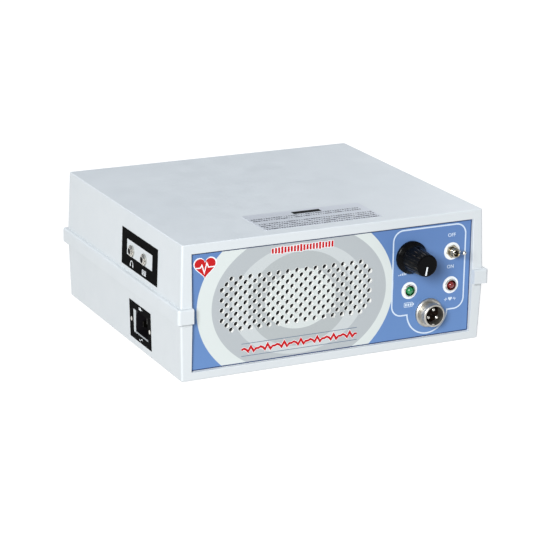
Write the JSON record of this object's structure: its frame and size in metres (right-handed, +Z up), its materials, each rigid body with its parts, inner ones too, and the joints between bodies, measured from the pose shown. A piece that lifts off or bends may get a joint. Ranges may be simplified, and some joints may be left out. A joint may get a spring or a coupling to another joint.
{
  "type": "fetal doppler monitor",
  "caption": "Desk-top fetal heart monitor in a light plastic case with a perforated speaker panel, volume knob, power switch, lamps, probe socket and side jacks.",
  "frame": {"origin": "middle of the flat underside of the case", "axes": "+Z up, -Y out of the front panel, +X to the right seen from the front"},
  "size_m": [0.2326, 0.2292, 0.0932],
  "materials": {
    "case_abs": "satin moulded ABS",
    "panel_abs": "moulded white",
    "printed_film": "screen-printed polycarbonate film",
    "black_felt": "felt",
    "black_phenolic": "moulded black",
    "white_ink": "inlaid white",
    "red_ink": "screen-printed",
    "slate_ink": "screen-printed",
    "black_nylon": "moulded black",
    "bright_nickel": "bright nickel plate",
    "zinc_steel": "zinc plated",
    "tinned_brass": "tinned",
    "green_lens": "diffused epoxy",
    "red_lens": "diffused epoxy",
    "black_label": "vinyl label",
    "silver_label": "foil label",
    "card": "pressed card",
    "ferrite": "ferrite and steel plates",
    "rubber_roll": "moulded",
    "cone_paper": "pressed paper",
    "glass_epoxy": "solder mask",
    "sleeved_can": "shrink sleeve",
    "white_nylon": "moulded",
    "core_steel": "laminated steel",
    "copper_winding": "enamelled wire and tape",
    "battery_case": "moulded ABS",
    "lead_insulation": "PVC insulation"
  },
  "bodies": {
    "case": {"bottom_shell": "case_abs", "top_shell": "case_abs", "case_screws": "zinc_steel", "front_panel": "panel_abs", "front_overlay": "printed_film", "grille_cloth": "black_felt", "volume_pot": "zinc_steel", "pot_nut": "zinc_steel", "pot_lugs": "tinned_brass", "toggle_bushing": "bright_nickel", "toggle_body": "black_nylon", "toggle_lugs": "tinned_brass", "toggle_nut": "bright_nickel", "led_bezels": "bright_nickel", "led_nuts": "zinc_steel", "green_led": "green_lens", "red_led": "red_lens", "probe_socket_shell": "bright_nickel", "probe_socket_insert": "black_nylon", "probe_socket_pins": "tinned_brass", "probe_socket_nut": "zinc_steel", "earphone_jack": "black_nylon", "tape_jack": "black_nylon", "jack_nuts": "bright_nickel", "jack_label": "black_label", "inlet_label": "black_label", "top_label": "silver_label", "mains_inlet": "black_nylon", "inlet_blades": "tinned_brass", "inlet_screws": "bright_nickel", "inlet_nuts": "zinc_steel", "speaker_gasket": "card", "speaker_basket": "zinc_steel", "speaker_magnet": "ferrite", "speaker_surround": "rubber_roll", "speaker_nuts": "zinc_steel", "main_board": "glass_epoxy", "board_screws": "zinc_steel", "board_chips": "black_nylon", "board_capacitors": "sleeved_can", "board_headers": "white_nylon", "transformer_core": "core_steel", "transformer_coil": "copper_winding", "transformer_strap": "zinc_steel", "transformer_screws": "zinc_steel", "battery": "battery_case", "battery_terminals": "tinned_brass", "battery_strap": "zinc_steel", "battery_screws": "zinc_steel", "signal_leads": "lead_insulation", "power_leads": "lead_insulation", "mains_leads": "lead_insulation"},
    "volume_control": {"volume_knob": "black_phenolic", "knob_pointer": "white_ink", "knob_grub_screw": "zinc_steel", "volume_shaft": "zinc_steel"},
    "power_lever": {"toggle_lever": "bright_nickel"},
    "speaker_diaphragm": {"speaker_cone": "cone_paper", "speaker_coil": "cone_paper", "speaker_dust_cap": "cone_paper"}
  },
  "joints": [
    {"name": "volume_turn", "type": "hinge", "parent": "case", "child": "volume_control", "pos_m": [0.0574, -0.0998, 0.0648], "axis": [0, 1, 0], "range_deg": [0, 300]},
    {"name": "power_flip", "type": "hinge", "parent": "case", "child": "power_lever", "pos_m": [0.0899, -0.1028, 0.065], "axis": [1, 0, 0], "range_deg": [0, 26]},
    {"name": "diaphragm_travel", "type": "slide", "parent": "case", "child": "speaker_diaphragm", "axis": [0, -1, 0], "range_m": [-0.0005, 0.0005], "stiffness_N_per_m": 800}
  ]
}
